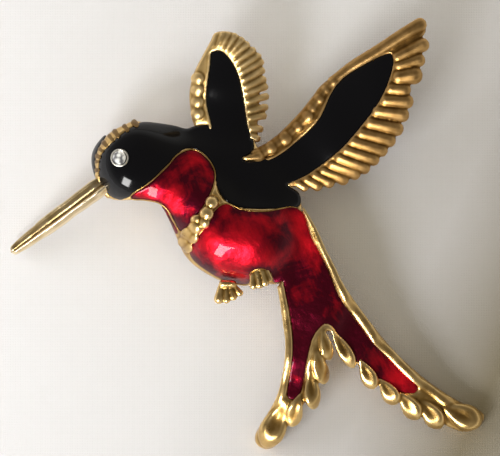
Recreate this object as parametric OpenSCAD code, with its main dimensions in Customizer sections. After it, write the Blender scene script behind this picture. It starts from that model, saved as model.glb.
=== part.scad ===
// Hummingbird brooch: a gold-tone casting with fields of black and red enamel, one set
// stone for the eye, and a plain pin on the back. It lies on its pin and its tail tips.

/* [Body] */
// Length of the head and body, from the root of the beak to the root of the tail
body_len = 28.0; // [24:0.5:34]
// Height of the belly above the flat back
body_rise = 8.0; // [7:0.1:9.5]
// Room between the flat back and what the brooch lies on
back_z = 4.0; // [3.8:0.1:5]
// Length of the beak beyond the head
beak_len = 15.1; // [12:0.1:18]
// Width of the beak at its root
beak_w = 3.0; // [2.4:0.1:3.6]

/* [Wings] */
// How far the near wing reaches to the right of its root
near_wing_reach = 28.0; // [24:0.5:33]
// How far the near wing rises above its root, in the plane of the brooch
near_wing_rise = 21.0; // [18:0.5:25]
// Height of the near wing's root above the flat back
near_wing_set = 1.4; // [1.2:0.1:1.7]
// Height of the near wing's tip above its root
near_wing_lift = 4.0; // [2:0.1:5]
// How far the far wing rises above its root, in the plane of the brooch
far_wing_rise = 14.0; // [12:0.5:17]
// Height of the far wing's root above the flat back
far_wing_set = 1.2; // [1:0.1:1.5]
// Height of the far wing's tip above its root
far_wing_lift = 3.0; // [1.5:0.1:4]
// Thickness of a wing along its middle
wing_t = 2.2; // [1.9:0.1:2.8]
// Number of feathers on the near wing's trailing edge
near_feathers = 18; // [14:1:20]
// Number of feathers on the far wing's trailing edge
far_feathers = 15; // [12:1:17]
// Diameter of the largest bead on the near wing's leading band
wing_bead_d = 1.6; // [1.3:0.1:1.8]

/* [Tail] */
// How far the tail's right fork reaches to the right of the tail's root
tail_reach = 28.0; // [24:0.5:33]
// How far the tail's left fork drops below the tail's root
tail_drop = 35.0; // [30:0.5:40]
// Thickness of the tail at its root
tail_t = 5.0; // [4:0.1:6]
// Width of a leaf-shaped lobe on the tail's inner edges
lobe_w = 2.2; // [1.8:0.1:2.5]

/* [Details] */
// Depth of the enamel
enamel_depth = 0.5; // [0.4:0.05:0.7]
// How far the cell walls stand above the enamel
wall_proud = 0.15; // [0.1:0.01:0.25]
// Clearance round each separate piece
fit_gap = 0.05; // [0.03:0.01:0.08]
// Diameter of the eye stone
eye_d = 2.0; // [1.7:0.1:2.3]
// Wall of the cup round the eye stone
eye_cup_wall = 0.25; // [0.2:0.01:0.35]
// Width of a rib on the crown strip
crown_rib_w = 0.9; // [0.8:0.05:1]
// Diameter of a bead on the collar
collar_bead_d = 1.8; // [1.5:0.1:2.1]
// Number of beads on the collar
collar_beads = 7; // [5:1:8]
// Diameter of a toe
toe_d = 1.4; // [1.2:0.05:1.6]
// How far a toe's end reaches from the middle of the foot
toe_reach = 2.45; // [2:0.05:2.7]

/* [Pin] */
// Length of the bar on the back
bar_len = 20.0; // [17:0.5:22]
// Width of the bar
bar_w = 3.0; // [2.6:0.1:3.6]
// Thickness of the bar
bar_t = 0.7; // [0.6:0.05:0.9]
// Diameter of the pin stem
stem_d = 0.8; // [0.7:0.05:0.9]
// Gap between the bar and the stem, for the cloth
cloth_gap = 2.1; // [2.05:0.05:2.3]
// Length of the block that holds the stem's root
block_l = 2.2; // [1.8:0.1:2.6]
// Length of the catch that takes the stem's end
catch_l = 1.8; // [1.5:0.1:2.2]

/* [Hidden] */

GOLD = "goldenrod";
BLACK = "black";
RED = "firebrick";
CLEAR = "lightsteelblue";
SILVER = "silver";

// Sides of the round forms, from the largest to the smallest.
PIN_SIDES = 32;
ROUND = 16;
BEAK_SIDES = 12;
BEAD_SIDES = 8;
FINE = 6;

// A knob's height as a share of its width.
KNOB_RISE = 0.8;
DOME_STEPS = 4;
DOME_TURN = 8;
CURVE_STEPS = 2;
// Taller than the brooch.
SKY = 40;

// Tables of points hold percentages. On the body both columns are shares of body_len,
// measured from the middle of the throat.
body_at = [0, 0];
near_root = body_len * [16.2, 15.8] / 100;
far_root = body_len * [15, 34.8] / 100;
tail_root = body_len * [42.5, 0] / 100;
beak_root = body_len * [-49.5, 7] / 100;
beak_turn = 216.3;
beak_way = beak_len * [cos(beak_turn), sin(beak_turn)];

// The beak leaves the head at a share of body_rise and ends at a share of back_z. Columns:
// share of its length, radius as a share of its width, share of its fall.
BEAK_ROOT_HIGH = 0.34;
BEAK_TIP_HIGH = 0.45;
BEAK_STEPS = [[-0.12, 0.5, 0], [0.35, 0.5, 0.25], [0.8, 0.36, 0.8], [1, 0.22, 1]];

// The origin is under the middle of the brooch, on what it lies on.
left_x = beak_root[0] + beak_way[0] - beak_w * BEAK_STEPS[len(BEAK_STEPS) - 1][1];
right_x = tail_root[0] + tail_reach;
low_y = tail_root[1] - tail_drop;
high_y = near_root[1] + near_wing_rise;
centre = [(left_x + right_x) / 2, (low_y + high_y) / 2];

// Outline of the head and body. Columns: right, up.
BODY_OUTLINE = [
  [-52.5, 12], [-54.3, 18.5], [-54.1, 23], [-51.5, 27.5], [-44, 34.5], [-38, 37.5],
  [-33, 39.7], [-28, 38.8], [-14, 37.2], [-7.5, 35.6], [-2, 36.8], [12.5, 35],
  [25.4, 32.3], [29.2, 26], [39, 17.5], [47, 5], [50.8, -2], [50, -20], [46, -32.5],
  [41, -42], [31, -43.2], [21.5, -43], [12.5, -41.6], [5, -38.3], [-3, -33.5],
  [-8, -27.3], [-12.5, -19.3], [-18.5, -5.2], [-22.5, -1.5], [-32.5, 0],
  [-42.5, 0], [-47.5, 2.5], [-50.8, 7]];

// Black field over the head and back. Columns: right, up.
BACK_FIELD = [
  [-49.5, 6.5], [-50.5, 14.5], [-49.5, 21.5], [-46.5, 26], [-41, 31], [-35, 34.8],
  [-28, 37.6], [-14, 36], [-7, 34.2], [-2, 35.7], [6, 36.6], [24.5, 31], [26.2, 25.5],
  [24.2, 23], [20.8, 21], [25, 19.3], [42, 9], [49.2, 3], [48.8, -3.2],
  [37.5, -4.2], [21.5, -3.8], [13.5, -0.5], [9, 6.5], [7.5, 15], [4, 21.5],
  [-0.5, 25], [-5, 26], [-9, 25], [-16, 18], [-25, 9.5], [-34.5, 3], [-44, 1.8]];

// Sliver of black beyond the crown strip. Columns: right, up.
FAR_HEAD_FIELD = [
  [-52.8, 13.5], [-53.7, 18.5], [-53.5, 22.9], [-51.3, 27.1], [-48, 30.7],
  [-47.6, 29.8], [-49.4, 27.6], [-51, 24.6], [-51.8, 21.5], [-51.8, 17.5],
  [-51.6, 14]];

// Red field on the throat. Columns: right, up.
THROAT_FIELD = [
  [-34, 1.5], [-25, 7.8], [-16, 16], [-11, 21.8], [-5, 24.5], [0, 23.2], [5, 18],
  [7, 11.5], [4.5, 2.5], [-1, -6.5], [-6, -13], [-10.5, -15.8], [-13.5, -11],
  [-16, -5.5], [-21, -1.4], [-27.5, 0.6]];

// Red field on the belly, which runs on into the tail's. Columns: right, up.
BELLY_FIELD = [
  [13, -2.2], [21.5, -5.2], [32.5, -6], [48.8, -4.8], [50, -20], [46, -36],
  [38.5, -40.5], [35.8, -35], [30, -33.2], [24.5, -35.5], [23, -40.8], [14, -39.8],
  [3.5, -35.3], [-3, -29.3], [-4.5, -24], [0, -18], [5, -11], [7.5, -5.5]];

// Edges of the gold crown strip. Columns: right, up.
CROWN_OUTER = [[-51, 13], [-51, 20], [-47.8, 27.5], [-42.4, 33.6], [-34, 38.7]];
CROWN_INNER = [[-50.5, 13], [-50.2, 20], [-46.8, 26.4], [-41.2, 31.4], [-32, 37]];
CROWN_RIBS = 9;

// Line of the collar's beads. Columns: right, up.
COLLAR = [[7, -1], [2.3, -8.4], [-1.7, -14.8], [-6.3, -20.6], [-7.3, -25.3]];

// The two feet. Columns: right, up, height as a share of body_rise, size, and the way the
// middle of the foot points, in degrees.
FEET = [[14.2, -41.5, 38, 1, -84], [30, -36.5, 56, 0.85, -86]];
TOES = 4;
TOE_SPREAD = 25;
// The pad's radius and the toe's drop, as shares of the toe's radius.
FOOT_PAD = 1.2;
TOE_DROP = 0.3;

// The near wing's shares are of its reach and its rise. Columns: right, up.
NEAR_OUTLINE = [
  [4, 7], [10.2, 12.2], [17.8, 17.9], [25.2, 25.7], [33.8, 37.7], [39.8, 47.7],
  [45.2, 56.5], [56.2, 65.9], [68.8, 75.9], [82.8, 87.2], [91.5, 96.7],
  [95.6, 100], [99.3, 95], [97, 84], [92.5, 68], [87, 50], [82, 33], [74, 16],
  [63, 1.5], [50, -8.5], [36, -11.5], [27, -12.5], [10, -8]];
NEAR_FIELD = [
  [8.8, 4.3], [14.8, 5.7], [23.2, 12], [33.8, 21], [40.2, 28.3], [44.8, 40.3],
  [49.8, 52.3], [58.8, 65.3], [68, 70.5], [76.8, 76.5], [80.5, 73], [80.2, 63.7],
  [75.2, 47.7], [66.8, 31], [56.2, 15], [43, 1.7], [27.5, -9.5], [14.8, -9]];
NEAR_FEATHER_ROOTS = [[82, 80], [80.5, 64], [74, 44], [62, 23], [46, 4], [29, -10]];
NEAR_FEATHER_TIPS = [[96.4, 94.4], [93, 71], [87.2, 47], [79.8, 22], [67, 2],
  [49, -8.8], [31, -12]];
// Beads on the near wing's leading band. Columns: right, up.
NEAR_BEADS = [[12.8, 9], [20, 14.5], [27.5, 20], [33.5, 27.5], [38, 34.5],
  [41.5, 42.5], [45, 49.5], [48.8, 56.5]];
NEAR_BEAD_TAPER = 0.35;
// A feather is wider than its share of the edge, so that it meets the next one, and its
// root is a share of its tip.
FEATHER_LAP = 1.16;
FEATHER_ROOT = 0.7;

// The far wing's shares are of its rise, both ways. Columns: right, up.
FAR_OUTLINE = [
  [-36, 5.5], [-39.5, 20.5], [-40.5, 38.5], [-36, 57.5], [-27, 75.5], [-19, 90],
  [-15.5, 97], [-6, 99], [4, 98], [16, 91.5], [25, 79], [28, 66], [30.5, 50],
  [31.5, 30.5], [30, 10.5], [25.5, -13], [0, -20], [-24, -12]];
FAR_FIELD = [
  [-20.5, 5], [-25, 27.5], [-24.2, 45.5], [-21.5, 64.5], [-20.5, 76.5], [-16, 80.5],
  [-6.5, 79.5], [3.5, 68.5], [10.5, 52.5], [14.8, 32.5], [18, 9.5], [19, -8],
  [0, -17], [-17, -5]];
FAR_FEATHER_ROOTS = [[-9, 84], [4, 77], [13, 58], [17.5, 36], [21, 12], [24, -9]];
FAR_FEATHER_TIPS = [[0, 95], [23, 80], [32.5, 58], [34.5, 31], [32.5, 8], [27, -13]];
// Beads on the far wing's leading band. Columns: right, up.
FAR_BEADS = [[-32.8, 51.5], [-33, 40], [-33, 28], [-33, 16.5]];
FAR_BEAD_SHARE = 0.8;

// The tail's shares are of its reach and its drop. Columns: right, down.
TAIL_OUTLINE = [
  [3, -2], [10.2, 6], [15.8, 14.8], [22, 22.8], [28.8, 34.8], [41.2, 48],
  [55.5, 61], [71.2, 72.2], [87, 80.6], [98, 84.6], [100, 87.4], [96.5, 91.6],
  [88, 92.8], [76, 89.5], [65, 85.5], [54, 79.5], [44, 73], [34, 65], [26, 55.5],
  [21, 52.5], [18.5, 58], [17.5, 66], [14.5, 76], [9.5, 83], [3.5, 88], [-1, 94.5],
  [-5, 98.8], [-9.5, 100], [-14, 98.2], [-15.2, 95], [-13, 91.2], [-8.2, 87.4],
  [-4, 82], [-1.8, 75.4], [0.3, 60], [-1.6, 43.4], [-3, 36], [-2, 20]];
TAIL_FIELD = [
  [6.8, 4], [13.2, 15.2], [20.2, 25.8], [27, 38.4], [38, 50.8], [50.2, 61.8],
  [62.5, 71.4], [66.3, 75], [63.5, 77.5], [52.5, 75.4], [42.8, 69.6], [32.7, 61.4],
  [25.5, 52.4], [22, 49.8], [18.5, 50], [14, 54.5], [11.6, 61], [10, 69],
  [7.5, 77.4], [4.5, 79.6], [1.2, 78.4], [2.2, 71], [3.6, 62], [3.8, 53],
  [2, 43.4], [0, 36], [-2, 28], [-6, 15]];

// Leaf-shaped lobes on the tail's inner edges. Columns: base right, base down, tip right,
// tip down, width as a share of lobe_w.
LOBES = [
  [24, 53, 34.5, 66.5, 0.85], [37, 65.2, 44, 74, 0.95], [47.5, 73, 54.5, 80.6, 1],
  [57.5, 78, 65.8, 86.4, 1], [68.5, 81.5, 77, 89.9, 1.05], [78, 82.5, 93.5, 88, 1.35],
  [18, 53, 19.4, 63.5, 0.8], [15.6, 59, 17.9, 71.5, 0.95], [12.8, 68, 14.2, 80.8, 0.95],
  [7.5, 79, 6.3, 88.2, 0.95], [-0.5, 83, -8.5, 96.2, 1.45]];
LOBE_BASE = 0.8;

// The forms are chains of domes, each hulled to the one before it. Columns: right, up or
// down, radius (all as shares of the chain's own lengths), base and rise (as shares of the
// chain's height), with the base measured as said for each.
HEAD_CHAIN = [[-31.5, 19.5, 24.5, 0, 88], [-10, 7, 23, 0, 86], [5, -3, 23.5, 0, 94],
  [12.5, -17, 24.5, 0, 98], [28, -18.5, 26, 0, 100]];
BACK_CHAIN = [[-26, 18, 23, 0, 84], [-11, 13, 25, 0, 78], [17, 15, 28, 0, 68],
  [32, 2, 26, 0, 72], [27, -16, 27, 0, 92]];
// The tail's rows leave the body's back and end on what the brooch lies on. Columns:
// right, down, radius as a share of tail_reach, base as a share of back_z, rise as a
// share of tail_t.
TAIL_STEM = [[0, 10, 22, 100, 104], [13, 34, 25, 84, 100]];
RIGHT_FORK = [[13, 34, 25, 84, 100], [32, 53, 19, 55, 82], [55, 70, 17, 28, 66],
  [75, 81, 15, 10, 54], [91, 87.5, 13, 0, 44]];
LEFT_FORK = [[13, 34, 25, 84, 100], [7, 56, 19, 55, 80], [6, 74, 17, 28, 66],
  [-3, 89, 15, 8, 54], [-10, 96, 11, 0, 44]];
// The wings' rows leave the back. Columns: right, up, radius as a share of the wing's
// first length, base as a share of the wing's lift, rise as a share of wing_t.
NEAR_CHAIN = [[5, 0, 25, 0, 150], [37, 10, 27, 28, 100], [60, 32, 28.5, 60, 100],
  [79, 57, 24.5, 84, 96], [94, 86, 18, 100, 90]];
FAR_CHAIN = [[-2, -8, 42, 0, 150], [-6, 28, 46, 35, 100], [-4, 60, 40, 70, 100],
  [2, 85, 32, 100, 90]];

// The stone's depth in its cup as a share of its width, and its crown and table.
EYE_DEPTH = 0.45;
EYE_CROWN = 0.2;
EYE_TABLE = 0.6;
// How far the cup stands over the head, as a share of its wall.
CUP_PROUD = 0.3;

// Where the pin's middle lies under the body, as shares of body_len, and how it is turned.
PIN_SPOT = [5.5, 13.5];
PIN_TURN = -12;

// Where a table of shares falls, for a frame of [origin, first length, second length].
BODY_FRAME = [body_at, body_len, body_len];
NEAR_FRAME = [near_root, near_wing_reach, near_wing_rise];
FAR_FRAME = [far_root, far_wing_rise, far_wing_rise];
TAIL_FRAME = [tail_root, tail_reach, -tail_drop];

function placed(row, frame) =
  frame[0] + [row[0] * frame[1], row[1] * frame[2]] / 100;
function placed_all(rows, frame) = [for (row = rows) placed(row, frame)];

// A station is [x, y, radius, base z, rise].
function stations(rows, frame, base_z, base_unit, rise_unit) = [
  for (row = rows)
    let (spot = placed(row, frame))
    [spot[0], spot[1], row[2] * frame[1] / 100, base_z + row[3] * base_unit / 100,
      row[4] * rise_unit / 100]];

head_form = stations(HEAD_CHAIN, BODY_FRAME, back_z, 0, body_rise);
back_form = stations(BACK_CHAIN, BODY_FRAME, back_z, 0, body_rise);
stem_form = stations(TAIL_STEM, TAIL_FRAME, 0, back_z, tail_t);
right_form = stations(RIGHT_FORK, TAIL_FRAME, 0, back_z, tail_t);
left_form = stations(LEFT_FORK, TAIL_FRAME, 0, back_z, tail_t);
near_form = stations(NEAR_CHAIN, NEAR_FRAME, back_z + near_wing_set, near_wing_lift,
  wing_t);
far_form = stations(FAR_CHAIN, FAR_FRAME, back_z + far_wing_set, far_wing_lift, wing_t);

body_forms = [head_form, back_form];
tail_forms = [stem_form, right_form, left_form];
near_forms = [near_form];
far_forms = [far_form];

// Points of a smooth curve through the rows of a table.
function along(a, b, c, d, t) = 0.5 * (2 * b + (c - a) * t
  + (2 * a - 5 * b + 4 * c - d) * t * t + (3 * b - a - 3 * c + d) * t * t * t);
function closed_curve(p) =
  let (n = len(p))
  [for (i = [0 : n - 1], k = [0 : CURVE_STEPS - 1])
    along(p[(i + n - 1) % n], p[i], p[(i + 1) % n], p[(i + 2) % n], k / CURVE_STEPS)];
function open_curve(p, share) =
  let (n = len(p) - 1, x = share * n, i = min(floor(x), n - 1))
  along(p[max(i - 1, 0)], p[i], p[i + 1], p[min(i + 2, n)], x - i);

function sum_of(list) = [for (one = list) 1] * list;

// Height of a chain of domes over a point.
function between(a, b, spot) =
  let (run = [b[0] - a[0], b[1] - a[1]], off = [spot[0] - a[0], spot[1] - a[1]])
  let (share = max(0, min(1, off * run / (run * run))))
  a + (b - a) * share;
function dome_z(s, spot) =
  let (off = norm([spot[0] - s[0], spot[1] - s[1]]) / s[2])
  s[3] + s[4] * (off < 1 ? sqrt(1 - off * off) : 1 - off);
function form_z(form, spot) =
  max([for (i = [1 : len(form) - 1]) dome_z(between(form[i - 1], form[i], spot), spot)]);
function forms_z(forms, spot) = max([for (form = forms) form_z(form, spot)]);

// A dome of stacked rings, raised by lift, on a straight foot that goes down to foot_z.
module dome(s, lift, foot_z) {
  base_z = s[3] + lift;
  for (k = [0 : DOME_STEPS - 1]) {
    low = 90 * k / DOME_STEPS;
    high = 90 * (k + 1) / DOME_STEPS;
    translate([s[0], s[1], base_z + s[4] * sin(low)]) rotate(DOME_TURN)
      cylinder(h = s[4] * (sin(high) - sin(low)), r1 = s[2] * cos(low),
        r2 = s[2] * cos(high), $fn = ROUND);
  }
  if (base_z > foot_z)
    translate([s[0], s[1], foot_z]) rotate(DOME_TURN)
      cylinder(h = base_z - foot_z, r = s[2], $fn = ROUND);
}

// The forms with their tops raised by lift. Their undersides stay, or go down to the
// plane that the brooch lies on.
module form_body(forms, lift, footed = false) {
  for (form = forms, i = [1 : len(form) - 1])
    hull() {
      dome(form[i - 1], lift, footed ? 0 : form[i - 1][3]);
      dome(form[i], lift, footed ? 0 : form[i][3]);
    }
}

// Puts the origin under the middle of the brooch.
module centred() {
  translate([-centre[0], -centre[1], 0]) children();
}

module patch(rows, frame) {
  polygon(placed_all(closed_curve(rows), frame));
}

eye_at = placed([-40, 21], BODY_FRAME);
eye_r = eye_d / 2;
cup_r = eye_r + fit_gap + eye_cup_wall;
cup_top_z = forms_z(body_forms, eye_at) + CUP_PROUD * eye_cup_wall;
eye_seat_z = cup_top_z - EYE_DEPTH * eye_d;

module black_field() {
  difference() {
    union() {
      patch(BACK_FIELD, BODY_FRAME);
      patch(NEAR_FIELD, NEAR_FRAME);
      patch(FAR_FIELD, FAR_FRAME);
    }
    translate(eye_at) circle(r = cup_r + fit_gap, $fn = ROUND);
  }
}

module far_head_field() patch(FAR_HEAD_FIELD, BODY_FRAME);

module throat_field() patch(THROAT_FIELD, BODY_FRAME);

module red_field() {
  patch(BELLY_FIELD, BODY_FRAME);
  patch(TAIL_FIELD, TAIL_FRAME);
}

// One field of enamel: a skin of even depth over the forms.
module enamel(forms) {
  intersection() {
    linear_extrude(SKY) children();
    difference() {
      form_body(forms, 0);
      form_body(forms, -enamel_depth, true);
    }
  }
}

// What is cleared from the metal for a field of enamel.
module pocket(forms) {
  difference() {
    linear_extrude(SKY) offset(delta = fit_gap) children();
    form_body(forms, -enamel_depth - fit_gap, true);
  }
}

module plate(rows, frame, forms) {
  intersection() {
    linear_extrude(SKY) patch(rows, frame);
    form_body(forms, wall_proud);
  }
}

// A low ball set on the forms at a point.
module knob(spot, forms, radius, sides = FINE) {
  translate([spot[0], spot[1], forms_z(forms, spot) + wall_proud])
    scale([1, 1, KNOB_RISE]) sphere(r = radius, $fn = sides);
}

module ridge(from, to, forms, from_r, to_r, sides = FINE) {
  hull() {
    knob(from, forms, from_r, sides);
    knob(to, forms, to_r, sides);
  }
}

module feathers(count, roots, tips, frame, forms) {
  spots = placed_all(tips, frame);
  edge = sum_of([for (i = [1 : len(spots) - 1]) norm(spots[i] - spots[i - 1])]);
  tip_r = FEATHER_LAP * edge / count / 2;
  for (i = [0 : count - 1]) {
    share = i / (count - 1);
    ridge(placed(open_curve(roots, share), frame), placed(open_curve(tips, share), frame),
      forms, FEATHER_ROOT * tip_r, tip_r);
  }
}

module bead_row(rows, frame, forms, first_d, taper) {
  for (i = [0 : len(rows) - 1])
    knob(placed(rows[i], frame), forms,
      first_d / 2 * (1 - taper * i / (len(rows) - 1)), BEAD_SIDES);
}

module near_wing() {
  plate(NEAR_OUTLINE, NEAR_FRAME, near_forms);
  feathers(near_feathers, NEAR_FEATHER_ROOTS, NEAR_FEATHER_TIPS, NEAR_FRAME, near_forms);
  bead_row(NEAR_BEADS, NEAR_FRAME, near_forms, wing_bead_d, NEAR_BEAD_TAPER);
}

module far_wing() {
  plate(FAR_OUTLINE, FAR_FRAME, far_forms);
  feathers(far_feathers, FAR_FEATHER_ROOTS, FAR_FEATHER_TIPS, FAR_FRAME, far_forms);
  bead_row(FAR_BEADS, FAR_FRAME, far_forms, FAR_BEAD_SHARE * wing_bead_d, 0);
}

module crown() {
  for (i = [0 : CROWN_RIBS - 1]) {
    share = i / (CROWN_RIBS - 1);
    ridge(placed(open_curve(CROWN_OUTER, share), BODY_FRAME),
      placed(open_curve(CROWN_INNER, share), BODY_FRAME), body_forms, crown_rib_w / 2,
      crown_rib_w / 2);
  }
}

module collar() {
  for (i = [0 : collar_beads - 1])
    knob(placed(open_curve(COLLAR, i / (collar_beads - 1)), BODY_FRAME), body_forms,
      collar_bead_d / 2, BEAD_SIDES);
}

module beak() {
  head_z = back_z + BEAK_ROOT_HIGH * body_rise;
  tip_z = BEAK_TIP_HIGH * back_z;
  for (i = [1 : len(BEAK_STEPS) - 1])
    hull()
      for (row = [BEAK_STEPS[i - 1], BEAK_STEPS[i]])
        let (spot = beak_root + beak_way * row[0])
        translate([spot[0], spot[1], head_z + (tip_z - head_z) * row[2]])
          sphere(r = row[1] * beak_w, $fn = BEAK_SIDES);
}

// One foot is a pad with a fan of short toes, at the belly's lower edge.
module foot(row) {
  root = placed([row[0], row[1]], BODY_FRAME);
  toe_r = toe_d * row[3] / 2;
  z = back_z + body_rise * row[2] / 100;
  for (i = [0 : TOES - 1]) {
    turn = row[4] + TOE_SPREAD * (i - (TOES - 1) / 2);
    tip = root + toe_reach * row[3] * [cos(turn), sin(turn)];
    hull() {
      translate([root[0], root[1], z]) sphere(r = FOOT_PAD * toe_r, $fn = FINE);
      translate([tip[0], tip[1], z - TOE_DROP * toe_r])
        sphere(r = toe_r, $fn = BEAD_SIDES);
    }
  }
}

module tail() {
  plate(TAIL_OUTLINE, TAIL_FRAME, tail_forms);
  for (row = LOBES) {
    lobe_r = lobe_w * row[4] / 2;
    ridge(placed([row[0], row[1]], TAIL_FRAME), placed([row[2], row[3]], TAIL_FRAME),
      tail_forms, LOBE_BASE * lobe_r, lobe_r, BEAD_SIDES);
  }
}

module eye_post() {
  translate([eye_at[0], eye_at[1], back_z])
    cylinder(h = cup_top_z - back_z, r = cup_r, $fn = ROUND);
}

module metal_casting() {
  color(GOLD) centred() difference() {
    union() {
      difference() {
        union() {
          plate(BODY_OUTLINE, BODY_FRAME, body_forms);
          tail();
          near_wing();
          far_wing();
          crown();
          collar();
          beak();
          for (row = FEET) foot(row);
        }
        pocket([head_form, back_form, near_form, far_form]) black_field();
        pocket(body_forms) far_head_field();
        pocket(body_forms) throat_field();
        pocket([head_form, back_form, stem_form, right_form, left_form]) red_field();
      }
      eye_post();
    }
    translate([eye_at[0], eye_at[1], eye_seat_z])
      cylinder(h = SKY, r = eye_r + fit_gap, $fn = ROUND);
    translate([0, 0, -SKY]) cube(2 * SKY, center = true);
  }
}

module black_enamel() {
  color(BLACK) centred() enamel([head_form, back_form, near_form, far_form]) black_field();
}

module far_head_enamel() {
  color(BLACK) centred() enamel(body_forms) far_head_field();
}

module throat_enamel() {
  color(RED) centred() enamel(body_forms) throat_field();
}

module belly_tail_enamel() {
  color(RED) centred()
    enamel([head_form, back_form, stem_form, right_form, left_form]) red_field();
}

// A round stone, plain below: a girdle, eight crown facets and a flat table.
module eye_stone() {
  girdle_h = cup_top_z - eye_seat_z;
  color(CLEAR) centred()
    translate([eye_at[0], eye_at[1], eye_seat_z + fit_gap]) {
      cylinder(h = girdle_h, r = eye_r, $fn = 8);
      translate([0, 0, girdle_h])
        cylinder(h = EYE_CROWN * eye_d, r1 = eye_r, r2 = EYE_TABLE * eye_r, $fn = 8);
    }
}

// The bar lies against the flat back. The block and the catch stand on what the brooch
// lies on, and the stem runs between them.
module pin_back() {
  bar_z = back_z - fit_gap - bar_t;
  stem_z = bar_z - cloth_gap - stem_d / 2;
  end_x = bar_len / 2 - bar_w / 2;
  pin_at = placed(PIN_SPOT, BODY_FRAME);
  color(SILVER) centred()
    translate([pin_at[0], pin_at[1], 0]) rotate(PIN_TURN) {
      translate([0, 0, bar_z]) linear_extrude(bar_t) {
        square([2 * end_x, bar_w], center = true);
        for (side = [-1, 1])
          translate([side * end_x, 0]) circle(d = bar_w, $fn = PIN_SIDES);
      }
      for (end = [[-end_x, block_l], [end_x, catch_l]])
        translate([end[0] - end[1] / 2, -bar_w / 2, 0])
          cube([end[1], bar_w, bar_z + bar_t / 2]);
      translate([-end_x, 0, stem_z]) rotate([0, 90, 0])
        cylinder(h = 2 * end_x, d = stem_d, $fn = PIN_SIDES);
    }
}

metal_casting();
black_enamel();
far_head_enamel();
throat_enamel();
belly_tail_enamel();
eye_stone();
pin_back();
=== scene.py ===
import math

import bmesh
import bpy
import numpy as np
from mathutils import Matrix, Vector


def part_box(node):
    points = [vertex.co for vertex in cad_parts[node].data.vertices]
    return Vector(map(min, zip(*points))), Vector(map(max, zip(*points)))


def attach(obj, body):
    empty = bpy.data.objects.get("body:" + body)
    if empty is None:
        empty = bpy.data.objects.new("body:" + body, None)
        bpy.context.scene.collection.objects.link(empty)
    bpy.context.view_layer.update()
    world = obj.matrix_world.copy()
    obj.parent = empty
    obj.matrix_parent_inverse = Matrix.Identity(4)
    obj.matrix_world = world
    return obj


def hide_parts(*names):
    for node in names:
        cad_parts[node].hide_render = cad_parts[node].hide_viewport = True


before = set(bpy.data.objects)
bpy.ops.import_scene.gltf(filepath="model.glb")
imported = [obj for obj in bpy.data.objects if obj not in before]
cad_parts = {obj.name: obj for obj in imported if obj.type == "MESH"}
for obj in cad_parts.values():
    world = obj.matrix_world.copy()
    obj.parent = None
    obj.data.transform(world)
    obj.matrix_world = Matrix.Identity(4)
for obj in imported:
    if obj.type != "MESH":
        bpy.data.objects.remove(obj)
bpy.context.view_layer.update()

# The brooch lies face up on a pale cloth, with the camera straight over it. A window's
# soft light falls from the lower left, past a pale wall close at its left, and a dim
# warm room is above. The window's panes are a light of their own, seen in gloss alone.
MM = 0.001
VIEW_WIDE = 70.0 * MM
VIEW_HIGH = 1.6
VIEW_MIDDLE = Vector((0.39, 0.87)) * MM
HALF_THICK = 6 * MM

camera = bpy.data.objects.new("camera", bpy.data.cameras.new("camera"))
camera.location = (*VIEW_MIDDLE, VIEW_HIGH)
camera.data.sensor_fit = "HORIZONTAL"
camera.data.angle = 2 * math.atan(VIEW_WIDE / 2 / (VIEW_HIGH - HALF_THICK))
camera.data.clip_start = 0.01
bpy.context.collection.objects.link(camera)
bpy.context.scene.camera = camera


def hang_light(name, turn, tilt, far, wide, high, watts, tint, mirrored=False):
    """An area light turned towards the brooch. Glossy surfaces show it, or else it lights them."""
    data = bpy.data.lights.new(name, "AREA")
    data.shape = "RECTANGLE"
    data.size, data.size_y = wide, high
    data.energy = watts
    data.color = tint
    light = bpy.data.objects.new(name, data)
    turn, tilt = math.radians(turn), math.radians(tilt)
    way = Vector(
        (math.cos(turn) * math.cos(tilt), math.sin(turn) * math.cos(tilt), math.sin(tilt))
    )
    light.location = way * far
    light.rotation_euler = way.to_track_quat("Z", "Y").to_euler()
    light.visible_camera = False
    light.visible_glossy = mirrored
    light.visible_diffuse = not mirrored
    bpy.context.collection.objects.link(light)


# The numbers: turn and tilt in degrees, distance, width and height in metres, and watts.
hang_light("window_pane", 242, 40, 0.42, 0.11, 0.24, 2.3, (1.0, 0.99, 0.97), mirrored=True)
hang_light("window", 228, 40, 0.42, 0.16, 0.14, 0.9, (0.95, 0.975, 1.0))
hang_light("wall", 172, 25, 0.18, 0.2, 0.09, 0.25, (0.99, 0.99, 1.0))
hang_light("room", 90, 80, 0.5, 0.6, 0.6, 0.92, (1.0, 0.93, 0.66))


def set_up(node, sockets):
    """Sets a node's numbers by the names of its sockets."""
    for socket, value in sockets.items():
        node.inputs[socket.replace("_", " ")].default_value = value
    return node


def step(nodes, kind, **sockets):
    """One more node of a finish."""
    return set_up(nodes.new("ShaderNode" + kind), sockets)


def tones(nodes, *stops):
    """A run of colours. Each stop is a place from 0 to 1 and its colour."""
    ramp = step(nodes, "ValToRGB")
    marks = ramp.color_ramp.elements
    marks[0].position, marks[1].position = stops[0][0], stops[-1][0]
    for place, _ in stops[1:-1]:
        marks.new(place)
    for mark, (_, colour) in zip(marks, stops):
        mark.color = (*colour, 1)
    return ramp


def blank(name, **sockets):
    """A material with one Principled shader, and its numbers set on the shader."""
    finish = bpy.data.materials.new(name)
    finish.use_nodes = True
    return finish, set_up(finish.node_tree.nodes["Principled BSDF"], sockets)


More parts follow.
